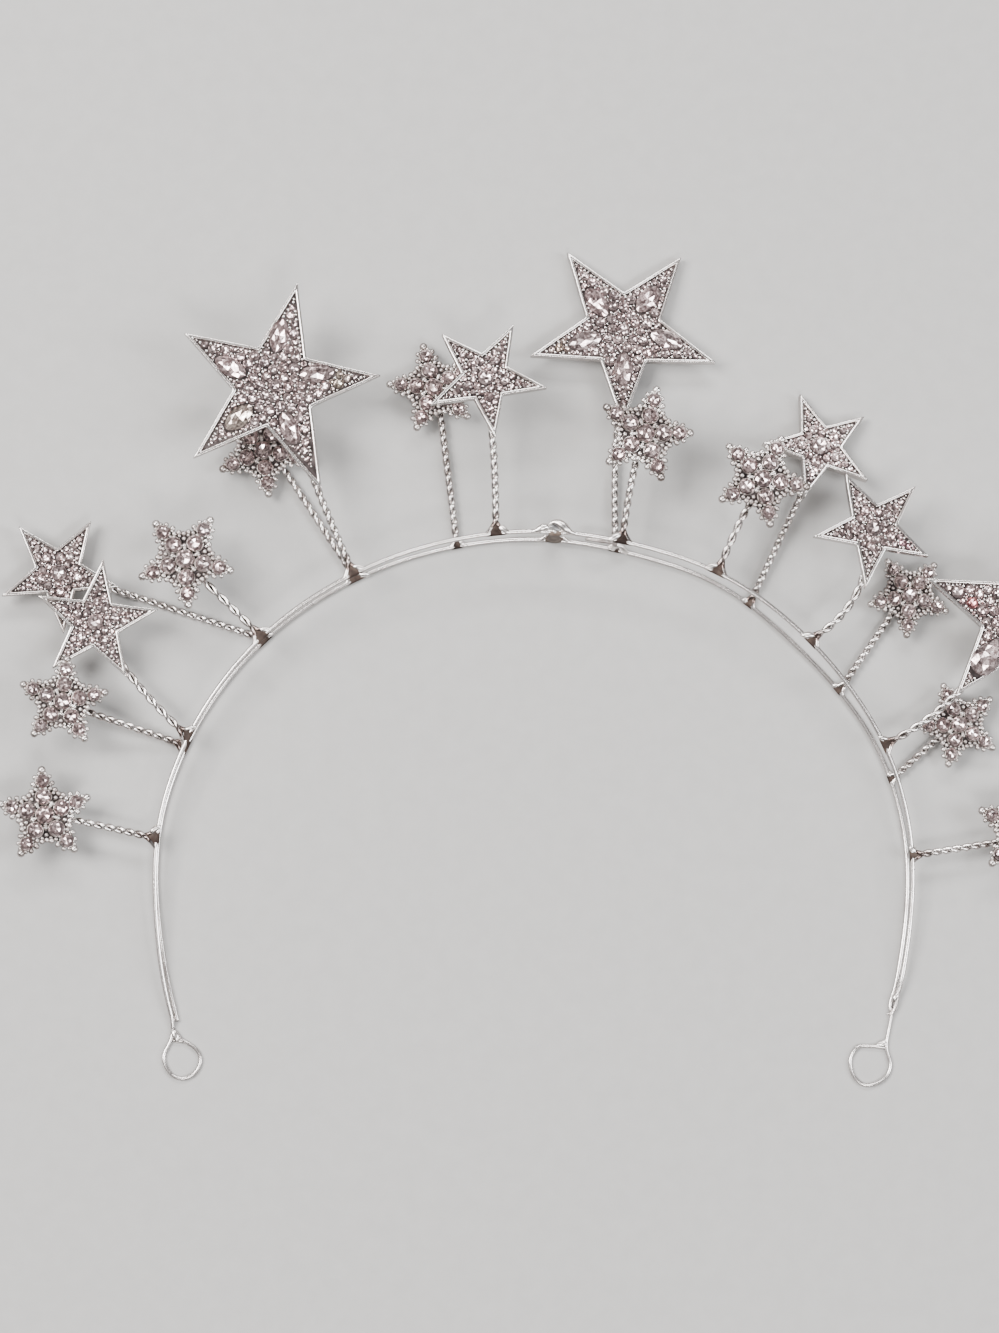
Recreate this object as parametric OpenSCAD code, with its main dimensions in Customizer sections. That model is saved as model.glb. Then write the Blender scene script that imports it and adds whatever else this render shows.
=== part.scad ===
// Star halo crown lying on its back. Millimetres. X runs to the crown's right, Y to its top and Z out of
// its front. The origin is the middle of the band's arc, on the surface that the rear wire rests on.

/* [Band] */
// Diameter of the two band wires
wire_d = 0.9; // [0.8:0.05:1.1]
// Height of the front wire over the rear one at the top of the band
band_lift = 10; // [9:0.5:12]
// Distance from the origin down to where the two wires meet
end_drop = 28; // [27:0.5:29]
// Diameter of the solder lump where the link joins each wire
lump_d = 2.6; // [2.2:0.1:2.8]
// Gap that is kept between neighbouring pieces
gap = 0.1; // [0.05:0.05:0.2]

/* [Eyelets] */
// Radius of an eyelet, to the middle of its wire
eyelet_r = 3.65; // [3.5:0.05:3.8]
// Diameter of the wire in an eyelet
eyelet_wire_d = 0.75; // [0.6:0.05:0.9]
// Diameter of the solder bead that closes an eyelet
bead_d = 2; // [1.8:0.1:2.2]

/* [Stems] */
// Diameter of each of the two strands that a stem is twisted from
strand_d = 0.85; // [0.7:0.05:0.9]
// Length of one full turn of the twist
twist_pitch = 4; // [3.5:0.1:5]
// Half the width of a stem's foot along the wire
foot_half_w = 2.2; // [1.8:0.1:2.6]
// Height of a stem's foot over the wire
foot_h = 2.6; // [2.2:0.1:3]

/* [Stars] */
// Radius of a big star, to its tips
big_r = 20; // [19:0.1:20.5]
// Radius of a medium star, to its tips
medium_r = 12; // [11.5:0.1:12.5]
// Radius of a star's notches, as a share of its tip radius
notch_share = 0.41; // [0.39:0.01:0.43]
// Thickness of a star, with its rim
star_t = 2; // [1.8:0.1:2.2]
// Width of the raised rim round a star
rim_w = 0.55; // [0.4:0.05:0.6]
// Depth of the paved face under the rim
recess = 0.6; // [0.4:0.1:0.8]

/* [Snowflakes] */
// Distance from a snowflake's middle to its tip beads
flake_r = 8.8; // [8.7:0.1:9]
// Radius of a snowflake's notches, as a share of that distance
flake_notch_share = 0.56; // [0.55:0.01:0.58]
// Thickness of the plate that joins a snowflake's cups
web_t = 1; // [0.8:0.1:1.2]
// Height of the cups, from the back of the plate
cup_h = 1.6; // [1.5:0.1:1.8]
// Width of metal round the stone in a cup
cup_wall = 0.15; // [0.1:0.05:0.2]

/* [Stones] */
// Radius of the table, as a share of the stone's radius
table_share = 0.56; // [0.5:0.02:0.65]
// Height of a round stone, as a share of its radius
crown_share = 0.55; // [0.45:0.05:0.6]

/* [Hidden] */
wire_r = wire_d / 2;
stem_r = strand_d;
RAYS = 5;
RAY_STEP = 360 / RAYS;
HALF_STEP = RAY_STEP / 2;
WIRE_SIDES = 6;
CUT_SIDES = 8;

// The band from its left end to its right end: angle round the origin, then each wire's radius there
ANGLE = 0;
FRONT = 1;
REAR = 2;
BAND = [
    [202, 75.0, 74.0], [191, 74.7, 73.7], [179, 74.8, 74.5], [170, 76.2, 76.0], [154, 76.4, 76.2],
    [136, 75.9, 75.6], [119, 74.8, 74.6], [102, 74.1, 73.9], [87, 74.2, 74.0], [77, 74.1, 73.8],
    [71, 74.6, 74.0], [60, 75.8, 75.5], [47, 76.1, 74.7], [34, 76.6, 75.8], [24, 77.3, 77.0],
    [8, 76.6, 76.3], [-2, 75.3, 74.8], [-11, 75.1, 74.3], [-22, 75.2, 74.3]
];
// Where each wire starts and stops, as angles round the origin
FRONT_ENDS = [200, -20];
REAR_ENDS = [197.6, -15.4];
RING_STEP = 4;
// Angle of the link at the front wire and at the rear one
LINK_AT = [0, 87.5, 86.8];
LUMP_REACH = 2.2;
LUMP_STEPS = 3;
LUMP_OUT = 0.7;

// Each eyelet: angle and radius of its solder bead, and the middle of its ring
BEAD_ANGLE = 0;
BEAD_AT = 1;
RING_MIDDLE = 2;
LEFT_EYELET = [200.85, 75.1, [-69.6, -30.3]];
RIGHT_EYELET = [-20.85, 75.1, [67.6, -30.9]];

// The ornaments from the left end of the band to the right: kind, wire that the stem leaves, angle of
// the stem's foot, middle of the ornament, angle of one ray, way that it leans and how far that side
// rises, how far the stem passes left of the middle, how far it bows to its left, how much it rises, and
// the ornament's size against the usual one
KIND = 0;
WIRE = 1;
FOOT = 2;
PLACE = 3;
TURN = 4;
LEAN_TO = 5;
LEAN = 6;
AIM = 7;
BOW = 8;
RISE = 9;
SIZE = 10;
ORNAMENTS = [
    ["snowflake", FRONT, 170.0, [-96.65, 17.6], 94.8, 90, 3, -0.3, 0, 0, 1],
    ["snowflake", REAR, 155.4, [-93.35, 39.7], 12.8, 84, 4, 0.3, 0, 6, 0.95],
    ["medium", FRONT, 154.3, [-87.15, 55.65], 11.7, 60, 4, 0, 0.5, -1.5, 1.02],
    ["medium", REAR, 135.5, [-94.75, 65.8], 59.2, 160, 2, 0, 0, 0, 0.99],
    ["snowflake", FRONT, 135.9, [-69.6, 67.8], 58.1, 30, 4, 0.4, 0, 0.5, 1.03],
    ["snowflake", REAR, 118.6, [-54.55, 91], 62, 130, 2, -1.6, 0, 0, 1],
    ["big", FRONT, 119.2, [-52.3, 102.3], 6.4, 90, 2, 0, 0.2, 0.5, 1.02],
    ["snowflake", REAR, 102.0, [-20.3, 104], 31.5, 100, -4, -0.8, 0, 0.4, 1],
    ["medium", FRONT, 96.4, [-10.5, 104.5], 62.7, 300, 4, 0, -0.3, 0, 1.01],
    ["big", REAR, 76.2, [18.1, 116.3], 52.6, 90, -6, 0, 0, 1.2, 0.975],
    ["snowflake", FRONT, 77.0, [21.2, 93.8], 2.7, 170, 6, 0.2, 0.3, 0, 1.05],
    ["snowflake", FRONT, 61.6, [44.8, 85], 63.6, 200, 4, -0.3, 0.3, 0, 1.04],
    ["medium", REAR, 54.5, [57.8, 92.9], 35.3, 70, -14, 0, 0, 2.3, 0.965],
    ["medium", FRONT, 43.8, [67.5, 75.5], 44.8, 250, 4, 0, -2, 0, 1.01],
    ["snowflake", REAR, 35.4, [75.95, 63], 49.6, 40, -2, 0.5, 0, 0.3, 0.92],
    ["big", FRONT, 24.7, [97.45, 58.1], 14, 40, 3, 0, -1.6, 0, 1.01],
    ["snowflake", REAR, 19.8, [85.7, 36.85], 38.5, 20, -2, 0.5, 0, 0.3, 0.94],
    ["snowflake", FRONT, 7.8, [97.8, 15.55], 11, 90, 3, -1.6, 0, 0, 1.03]
];

function two(n) = str(n < 10 ? "0" : "", n);
function piece_name(i) = str(ORNAMENTS[i][KIND] == "snowflake" ? "snowflake_"
    : str(ORNAMENTS[i][KIND], "_star_"), two(i + 1));
function stones_name(i) = str("stones_", two(i + 1));
LAST = len(ORNAMENTS) - 1;

function polar(r, a) = [r * cos(a), r * sin(a)];
function unit(v) = v / norm(v);
function mean(list) = list * [for (v = list) 1] / len(list);
function backwards(list) = [for (k = [len(list) - 1:-1:0]) list[k]];
function raised(p, z) = [p.x, p.y, z];

// A wire's radius round the origin, with the table's corners smoothed by a mean over a few degrees
SMOOTH = [-6, -3, 0, 3, 6];
function column(wire) = [for (row = backwards(BAND)) [row[ANGLE], row[wire]]];
function band_r(wire, a) = mean([for (s = SMOOTH) lookup(a + s, column(wire))]);
function slope() = band_lift / (band_r(FRONT, 90) + end_drop);
function wire_z(wire, y) = wire_r + (wire == FRONT ? slope() * (y + end_drop) : 0);
function wire_point(wire, a) = let (p = polar(band_r(wire, a), a)) raised(p, wire_z(wire, p.y));

// A closed solid through rings that have equally many points each
module skin(rings) {
    n = len(rings[0]);
    last = len(rings) - 1;
    sides = [for (i = [0:last - 1]) for (j = [0:n - 1]) let (a = i * n + j, b = i * n + (j + 1) % n)
        each [[a, a + n, b], [b, a + n, b + n]]];
    caps = [for (j = [1:n - 2]) each [[0, j, j + 1], [last * n, last * n + j + 1, last * n + j]]];
    polyhedron([for (r = rings) each r], concat(sides, caps));
}

// One band wire, swollen on its outer side by a lump of solder where the link meets it
module band_wire(wire, ends) {
    link = LINK_AT[wire];
    lump = [for (k = [-LUMP_STEPS:LUMP_STEPS]) link + LUMP_REACH * k / LUMP_STEPS];
    before = [for (a = [ends[0]:-RING_STEP:link + LUMP_REACH + 1]) a];
    after = [for (a = [ends[1]:RING_STEP:link - LUMP_REACH - 1]) a];
    angles = concat(before, backwards(lump), backwards(after));
    function swell(a) = max(0, 1 - pow((a - link) / LUMP_REACH, 2));
    skin([for (a = angles) let (r = wire_r + (lump_d / 2 - wire_r) * swell(a), p = wire_point(wire, a)) [
        for (k = [0:WIRE_SIDES - 1]) let (t = 360 * k / WIRE_SIDES)
            p + (r * cos(t) + LUMP_OUT * (r - wire_r)) * [cos(a), sin(a), 0]
                + [0, 0, (wire == REAR ? wire_r : r) * sin(t)]
    ]]);
}

module front_wire() {
    color("silver") band_wire(FRONT, FRONT_ENDS);
}

module rear_wire() {
    color("silver") band_wire(REAR, REAR_ENDS);
}

// The short link that holds the two wires apart at the top of the band: a web of solder that is broad
// along the rear wire and narrows towards the front one
LINK_SIDES = 12;
module wire_link() {
    low = wire_point(REAR, LINK_AT[REAR]);
    high = wire_point(FRONT, LINK_AT[FRONT]);
    // middle of each end, then half its size along the band and half its thickness
    ends = [
        [raised(low, low.z + wire_r + gap), 0.70 * lump_d, 0.27 * lump_d],
        [raised(high, high.z - lump_d / 2 - gap), 0.42 * lump_d, 0.25 * lump_d]
    ];
    color("dimgray") skin([for (e = ends) [
        for (k = [0:LINK_SIDES - 1]) let (t = 360 * k / LINK_SIDES)
            e[0] + raised(polar(e[1] * cos(t), LINK_AT[FRONT] - 90) + polar(e[2] * sin(t), LINK_AT[FRONT]), 0)
    ]]);
}

// An eyelet: a ring of wire, closed by the bead of solder that the band's wires run into
module eyelet(e) {
    bead = polar(e[BEAD_AT], e[BEAD_ANGLE]);
    color("silver") {
        translate(raised(e[RING_MIDDLE], wire_r)) rotate_extrude($fn = 64)
            translate([eyelet_r, 0]) circle(d = eyelet_wire_d, $fn = 24);
        translate(raised(bead, bead_d / 2)) rotate([90, 0, e[BEAD_ANGLE]]) sphere(d = bead_d, $fn = 32);
    }
}

// Places that an ornament's parts are worked out from
function is_star(o) = o[KIND] != "snowflake";
function star_r(o) = (o[KIND] == "big" ? big_r : medium_r) * o[SIZE];
function foot_at(o) = let (r = band_r(o[WIRE], o[FOOT]) + wire_r + gap) polar(r, o[FOOT]);
function foot_z(o) = let (z = wire_z(o[WIRE], foot_at(o).y)) max(z, stem_r + gap / 2);
function angle_to_foot(o) = let (d = foot_at(o) - o[PLACE]) atan2(d.y, d.x);
function stem_ray(o) = o[TURN] + RAY_STEP * round((angle_to_foot(o) - o[TURN]) / RAY_STEP);
SEAT_SHARE = 0.55;
FLAKE_SEAT = 1.6;
function seat_at(o) = o[PLACE] + (is_star(o) ? polar(star_r(o) * SEAT_SHARE, stem_ray(o))
    : polar(FLAKE_SEAT, angle_to_foot(o)) + polar(o[AIM], angle_to_foot(o) - 90));
function seat_z(o) = foot_z(o) + o[RISE];
function back_z(o) = seat_z(o) + stem_r + gap;

// Puts its children, drawn face up round their own middle, where an ornament sits and leans
module at_place(o) {
    seat = seat_at(o);
    axis = [-sin(o[LEAN_TO]), cos(o[LEAN_TO]), 0];
    translate([seat.x, seat.y, back_z(o)]) rotate(a = -o[LEAN], v = axis)
        translate([o[PLACE].x - seat.x, o[PLACE].y - seat.y, 0]) rotate(o[TURN]) children();
}

// A stem's foot: the strands spread onto the wire, with solder between them
module stem_foot(o) {
    base = foot_at(o);
    along = [-sin(o[FOOT]), cos(o[FOOT])];
    rise = unit(seat_at(o) - base);
    side = [-rise.y, rise.x];
    flare = [[0, 1], [0.35, 0.62], [0.7, 0.45], [1, 0.38]];
    function edge(s) = [for (f = flare) base + foot_h * f[0] * rise
        + foot_half_w * f[1] * s * (along * (1 - f[0]) + side * f[0] * sign(side * along))];
    low = o[WIRE] == REAR ? gap / 2 : foot_z(o) - strand_d / 2;
    high = foot_z(o) + strand_d / 2;
    translate([0, 0, low]) linear_extrude(high - low)
        polygon(concat(edge(1), backwards(edge(-1))));
}

// A stem: two strands twisted together, as a bar of their joint section that turns along a bowed line
RINGS_PER_TURN = 6;
STEM_START = 0.6;
BAR_HALF_WIDTH = 0.88 * strand_d;
BAR_HALF_HEIGHT = 0.46 * strand_d;
module twisted_stem(o) {
    rise = unit(seat_at(o) - foot_at(o));
    start = foot_at(o) + rise * foot_h * STEM_START;
    finish = seat_at(o);
    knee = (start + finish) / 2 + 2 * o[BOW] * [-rise.y, rise.x];
    steps = ceil(norm(finish - start) / twist_pitch * RINGS_PER_TURN);
    function at(t) = pow(1 - t, 2) * start + 2 * t * (1 - t) * knee + t * t * finish;
    function way(t) = unit((1 - t) * (knee - start) + t * (finish - knee));
    skin([for (k = [0:steps]) let (t = k / steps, p = at(t), w = way(t), turn = 360 * k / RINGS_PER_TURN) [
        for (c = [[1, 1], [-1, 1], [-1, -1], [1, -1]])
            let (across = BAR_HALF_WIDTH * c[0], thick = BAR_HALF_HEIGHT * c[1],
                a = across * cos(turn) - thick * sin(turn), b = across * sin(turn) + thick * cos(turn))
            [p.x - w.y * a, p.y + w.x * a, foot_z(o) + o[RISE] * t + b]
    ]]);
}

// The solder mound that holds the ornament's back to the end of its stem
MOUND_R = 1.3;
module mound(o) {
    seat = seat_at(o);
    translate([seat.x, seat.y, seat_z(o) - strand_d / 2])
        cylinder(h = back_z(o) - seat_z(o) + strand_d / 2 + web_t / 2, r = MOUND_R, $fn = 32);
}

module stem(o) {
    stem_foot(o);
    twisted_stem(o);
    mound(o);
}

module star_outline(r, share = notch_share) {
    polygon([for (k = [0:RAYS - 1]) each [polar(r, RAY_STEP * k),
        polar(r * share, RAY_STEP * k + HALF_STEP)]]);
}

// How far a star's edges lie from its middle, as a share of its tip radius
notch = polar(notch_share, HALF_STEP);
edge_share = notch.y / norm([1 - notch.x, notch.y]);

module star_plate(r) {
    difference() {
        linear_extrude(star_t) star_outline(r);
        translate([0, 0, star_t - recess]) linear_extrude(star_t)
            star_outline(r * (1 - rim_w / (edge_share * r)));
    }
}

// The stones and beads of a snowflake: radius of each, and its distance from the snowflake's middle
FLAKE_MIDDLE_R = 1.7;
FLAKE_INNER_R = 1.5;
FLAKE_INNER_AT = 3.55;
FLAKE_OUTER_R = 1.25;
FLAKE_OUTER_AT = 6.65;
OUTER_SUNK = 0.1;
TIP_BEAD_R = 0.8;
NOTCH_BEAD_R = 0.55;
NOTCH_BEAD_AT = 4.8;
BEAD_Z = 0.9;

module cup(stone_r, top) {
    translate([0, 0, gap]) cylinder(h = top - gap, r = stone_r + cup_wall, $fn = 48);
}

module snowflake_plate(size) {
    linear_extrude(web_t) star_outline((flake_r - TIP_BEAD_R / 2) * size, flake_notch_share);
    cup(FLAKE_MIDDLE_R * size, cup_h);
    for (k = [0:RAYS - 1]) rotate(RAY_STEP * k) {
        translate([FLAKE_INNER_AT * size, 0, 0]) cup(FLAKE_INNER_R * size, cup_h);
        translate([FLAKE_OUTER_AT * size, 0, 0]) cup(FLAKE_OUTER_R * size, cup_h - OUTER_SUNK);
        translate([flake_r * size, 0, BEAD_Z]) rotate(HALF_STEP / 2) sphere(r = TIP_BEAD_R, $fn = 32);
        rotate(HALF_STEP) translate([NOTCH_BEAD_AT * size, 0, BEAD_Z]) rotate(HALF_STEP / 2)
            sphere(r = NOTCH_BEAD_R, $fn = 32);
    }
}

// One ornament with its stem, soldered into a single piece
module ornament(o) {
    color("silver") {
        at_place(o) {
            if (is_star(o)) star_plate(star_r(o));
            else snowflake_plate(o[SIZE]);
        }
        stem(o);
    }
}

// A round stone: a table, eight crown facets and a flat foiled back
module round_stone(r) {
    cylinder(h = r * crown_share, r1 = r, r2 = r * table_share, $fn = CUT_SIDES);
}

// A boat-shaped stone of the same cut
BOAT_SLIM = 0.46;
module boat_stone(half_len) {
    linear_extrude(half_len * crown_share * BOAT_SLIM, scale = table_share)
        polygon([for (k = [0:CUT_SIDES - 1]) let (t = 360 * k / CUT_SIDES)
            half_len * [cos(t), BOAT_SLIM * sin(t) * (0.65 + 0.35 * abs(sin(t)))]]);
}

// The main stones of a star: radius of each, and its distance from the middle as a share of the star's
BIG_MIDDLE_R = 1.3;
BIG_NOTCH_R = 1.1;
BIG_NOTCH_AT = 0.25;
BOAT_HALF_LEN = 3;
BOAT_AT = 0.44;
BIG_TIP_R = 0.9;
BIG_TIP_AT = 0.7;
MEDIUM_MIDDLE_R = 1.6;
MEDIUM_INNER_R = 0.95;
MEDIUM_INNER_AT = 0.32;
MEDIUM_OUTER_R = 0.7;
MEDIUM_OUTER_AT = 0.54;

module star_stones(o) {
    r = star_r(o);
    translate([0, 0, star_t - recess + gap / 2]) {
        if (o[KIND] == "big") {
            round_stone(BIG_MIDDLE_R);
            for (k = [0:RAYS - 1]) rotate(RAY_STEP * k) {
                translate([r * BOAT_AT, 0, 0]) boat_stone(BOAT_HALF_LEN);
                translate([r * BIG_TIP_AT, 0, 0]) round_stone(BIG_TIP_R);
                rotate(HALF_STEP) translate([r * BIG_NOTCH_AT, 0, 0]) round_stone(BIG_NOTCH_R);
            }
        } else {
            round_stone(MEDIUM_MIDDLE_R);
            for (k = [0:RAYS - 1]) rotate(RAY_STEP * k) {
                translate([r * MEDIUM_INNER_AT, 0, 0]) round_stone(MEDIUM_INNER_R);
                translate([r * MEDIUM_OUTER_AT, 0, 0]) round_stone(MEDIUM_OUTER_R);
            }
        }
    }
}

module snowflake_stones(size) {
    translate([0, 0, cup_h + gap / 2]) {
        round_stone(FLAKE_MIDDLE_R * size);
        for (k = [0:RAYS - 1]) rotate(RAY_STEP * k) {
            translate([FLAKE_INNER_AT * size, 0, 0]) round_stone(FLAKE_INNER_R * size);
            translate([FLAKE_OUTER_AT * size, 0, -OUTER_SUNK]) round_stone(FLAKE_OUTER_R * size);
        }
    }
}

module stones(o) {
    color("lavenderblush") at_place(o) {
        if (is_star(o)) star_stones(o);
        else snowflake_stones(o[SIZE]);
    }
}

front_wire();
rear_wire();
wire_link();
eyelet(LEFT_EYELET);  // left_eyelet
eyelet(RIGHT_EYELET);  // right_eyelet
for (i = [0:LAST]) {
    ornament(ORNAMENTS[i]);
    stones(ORNAMENTS[i]);
}
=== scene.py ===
# A halo crown of silver-plated wire with paved stars and snowflakes, lying on its back on a pale table.
# The table, camera and lights are in metres. The crown is in millimetres and degrees until it is laid down.
import math
from collections import namedtuple

import bpy
import numpy as np
from mathutils import Matrix, Vector


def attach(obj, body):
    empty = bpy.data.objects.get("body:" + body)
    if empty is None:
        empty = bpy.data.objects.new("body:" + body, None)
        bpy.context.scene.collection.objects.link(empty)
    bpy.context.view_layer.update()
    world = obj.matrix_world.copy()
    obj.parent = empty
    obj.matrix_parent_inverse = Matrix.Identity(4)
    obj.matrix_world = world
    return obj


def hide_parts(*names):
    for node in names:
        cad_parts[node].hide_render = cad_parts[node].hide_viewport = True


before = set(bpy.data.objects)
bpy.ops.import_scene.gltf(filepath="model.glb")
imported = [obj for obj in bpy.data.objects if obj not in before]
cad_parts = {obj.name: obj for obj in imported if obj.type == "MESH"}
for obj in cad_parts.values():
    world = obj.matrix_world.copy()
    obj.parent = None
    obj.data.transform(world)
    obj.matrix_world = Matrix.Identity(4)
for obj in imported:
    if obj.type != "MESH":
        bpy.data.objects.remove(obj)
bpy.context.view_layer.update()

# The table top: a plain pale sheet with a faint grain, the only thing round the crown.
# The crown's rear wire, its eyelets and the stems that leave the rear wire lie on it.
TABLE_SIZE = 3.0
TABLE_DROP = 0.00004
PALE_SHEET = (0.43, 0.42, 0.41, 1)
PALE_GRAIN = (0.41, 0.40, 0.39, 1)
GRAIN_SCALE = 260
GRAIN_DEPTH = 0.00006
MATT = 0.62


def new_finish(name):
    finish = bpy.data.materials.new(name)
    finish.use_nodes = True
    tree = finish.node_tree
    return finish, tree.nodes, tree.links, tree.nodes["Principled BSDF"]


def grain_of(nodes, links, scale, detail=4.0, roughness=0.6):
    place = nodes.new("ShaderNodeTexCoord")
    grain = nodes.new("ShaderNodeTexNoise")
    grain.inputs["Scale"].default_value = scale
    grain.inputs["Detail"].default_value = detail
    grain.inputs["Roughness"].default_value = roughness
    links.new(place.outputs["Object"], grain.inputs["Vector"])
    return grain.outputs["Fac"]


def shades_of(nodes, links, value, stops):
    ramp = nodes.new("ShaderNodeValToRGB")
    ramp.color_ramp.elements[0].position, ramp.color_ramp.elements[0].color = stops[0]
    ramp.color_ramp.elements[1].position, ramp.color_ramp.elements[1].color = stops[-1]
    for position, colour in stops[1:-1]:
        ramp.color_ramp.elements.new(position).color = colour
    links.new(value, ramp.inputs["Fac"])
    return ramp.outputs["Color"]


def between(nodes, links, value, low, high):
    span = nodes.new("ShaderNodeMapRange")
    span.inputs["To Min"].default_value = low
    span.inputs["To Max"].default_value = high
    links.new(value, span.inputs["Value"])
    return span.outputs["Result"]


def relief(nodes, links, shader, value, depth, strength=1.0):
    bump = nodes.new("ShaderNodeBump")
    bump.inputs["Distance"].default_value = depth
    bump.inputs["Strength"].default_value = strength
    links.new(value, bump.inputs["Height"])
    links.new(bump.outputs["Normal"], shader.inputs["Normal"])


pale_table, nodes, links, shader = new_finish("pale_table")
fine = grain_of(nodes, links, GRAIN_SCALE)
links.new(shades_of(nodes, links, fine, [(0.35, PALE_GRAIN), (0.65, PALE_SHEET)]), shader.inputs["Base Color"])
shader.inputs["Roughness"].default_value = MATT
relief(nodes, links, shader, fine, GRAIN_DEPTH, 0.5)
half = TABLE_SIZE / 2
table_mesh = bpy.data.meshes.new("table_top")
table_mesh.from_pydata([(x * half, y * half, -TABLE_DROP) for x, y in ((-1, -1), (1, -1), (1, 1), (-1, 1))],
                       [], [(0, 1, 2, 3)])
table_mesh.materials.append(pale_table)
table_top = bpy.data.objects.new("table_top", table_mesh)
bpy.context.scene.collection.objects.link(table_top)

# The camera looks down on the crown from 0.7 m, from a little left of its middle and below it.
# Its lens gives the picture's frame of 999 by 1333, with the band's eyelets near the bottom.
CAMERA_AT = Vector((-0.062, -0.026, 0.700))
CAMERA_AIM = Vector((-0.0068, 0.0482, 0.0))
FOCAL_PIXELS = 3519
PICTURE_HEIGHT = 1333
SENSOR = 36.0

lens = bpy.data.cameras.new("camera")
lens.sensor_fit = "VERTICAL"
lens.sensor_height = SENSOR
lens.lens = FOCAL_PIXELS / PICTURE_HEIGHT * SENSOR
camera = bpy.data.objects.new("camera", lens)
bpy.context.scene.collection.objects.link(camera)
back = (CAMERA_AT - CAMERA_AIM).normalized()
right = Vector((0, 1, 0)).cross(back).normalized()
camera.matrix_world = Matrix.Translation(CAMERA_AT) @ Matrix((right, back.cross(right), back)).transposed().to_4x4()
bpy.context.scene.camera = camera

# Soft studio light: a wide box high on the left, a narrower one on the right, and a long one beyond the
# crown's top. A dim room between them leaves the dark reflections that cut stones and plate need.
ROOM_GREY = (0.085, 0.083, 0.084, 1)
LIT_SPOT = Vector((0, 0.05, 0))
SOFT_BOXES = (  # name, place, width, height, watts, colour
    ("left_box", (-0.75, 0.25, 0.95), 0.60, 0.60, 25.5, (1.0, 0.985, 0.97)),
    ("right_box", (0.80, -0.10, 0.75), 0.35, 0.70, 11.5, (0.96, 0.98, 1.0)),
    ("top_box", (0.05, 0.95, 0.80), 1.00, 0.25, 13.5, (1.0, 1.0, 1.0)),
    ("near_box", (0.10, -0.60, 1.00), 0.40, 0.25, 7.2, (1.0, 0.99, 0.98)),
)

world = bpy.data.worlds.new("studio")
world.use_nodes = True
world.node_tree.nodes["Background"].inputs["Color"].default_value = ROOM_GREY
bpy.context.scene.world = world
for name, place, width, height, watts, colour in SOFT_BOXES:
    lamp = bpy.data.lights.new(name, "AREA")
    lamp.shape = "RECTANGLE"
    lamp.size, lamp.size_y = width, height
    lamp.energy = watts
    lamp.color = colour
    box = bpy.data.objects.new(name, lamp)
    box.location = place
    box.rotation_euler = (LIT_SPOT - Vector(place)).to_track_quat("-Z", "Y").to_euler()
    bpy.context.scene.collection.objects.link(box)

# The band: two hard silver-plated wires of like shape that run about 220 degrees round the head. The rear one
# lies on the table and the front one climbs away from it, to 10 mm over it at the top of the head.
FRONT, REAR = 1, 2  # columns of the band's table
WIRE_R = 0.45
BAND_LIFT = 10.0
END_DROP = 28.0
GAP = 0.1
BAND = (  # angle, front wire's radius round the origin, rear wire's radius
    (202, 75.0, 74.0), (191, 74.7, 73.7), (179, 74.8, 74.5), (170, 76.2, 76.0), (154, 76.4, 76.2),
    (136, 75.9, 75.6), (119, 74.8, 74.6), (102, 74.1, 73.9), (87, 74.2, 74.0), (77, 74.1, 73.8),
    (71, 74.6, 74.0), (60, 75.8, 75.5), (47, 76.1, 74.7), (34, 76.6, 75.8), (24, 77.3, 77.0),
    (8, 76.6, 76.3), (-2, 75.3, 74.8), (-11, 75.1, 74.3), (-22, 75.2, 74.3))
LEFT_TAIL = ((-71.38, -24.2, 0.45), (-71.45, -22.4, 0.85))
RIGHT_TAIL = (
    (73.32, -16.36, 1.30), (72.75, -17.90, 1.05), (72.86, -19.10, 0.95), (72.48, -20.25, 0.80),
    (71.85, -21.05, 0.62), (71.64, -22.70, 0.50), (71.25, -24.43, 0.44), (70.88, -26.15, 0.40))
REAR_LEFT_END = (-70.42, -22.7, 0.42)
REAR_TAIL = ((72.06, -17.51, 0.45), (71.61, -18.8, 0.43), (71.42, -19.87, 0.42), (71.65, -20.6, 0.42))
SILVER_BRIGHT = (0.94, 0.885, 0.86, 1)
SILVER_WORN = (0.66, 0.60, 0.575, 1)
SILVER_DULL = (0.34, 0.29, 0.27, 1)
WEAR_SCALE = 140
PIT_SCALE = 1500
BAND_SIDES = 14
PATH_STEP = 0.5


def multiplied(nodes, links, colour, value):
    mix = nodes.new("ShaderNodeMix")
    mix.data_type = "RGBA"
    mix.blend_type = "MULTIPLY"
    mix.inputs["Factor"].default_value = 1.0
    links.new(colour, mix.inputs["A"])
    links.new(value, mix.inputs["B"])
    return mix.outputs["Result"]


def edge_shade(nodes, links, least):
    """Painted shade: darker where the surface turns away from the eye, for the dark edges that polished wire shows
    against a lit sheet
    """
    weight = nodes.new("ShaderNodeLayerWeight")
    span = nodes.new("ShaderNodeMapRange")
    span.inputs["From Min"].default_value = 0.15
    span.inputs["To Min"].default_value = 1.0
    span.inputs["To Max"].default_value = least
    links.new(weight.outputs["Facing"], span.inputs["Value"])
    return span.outputs["Result"]


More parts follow.
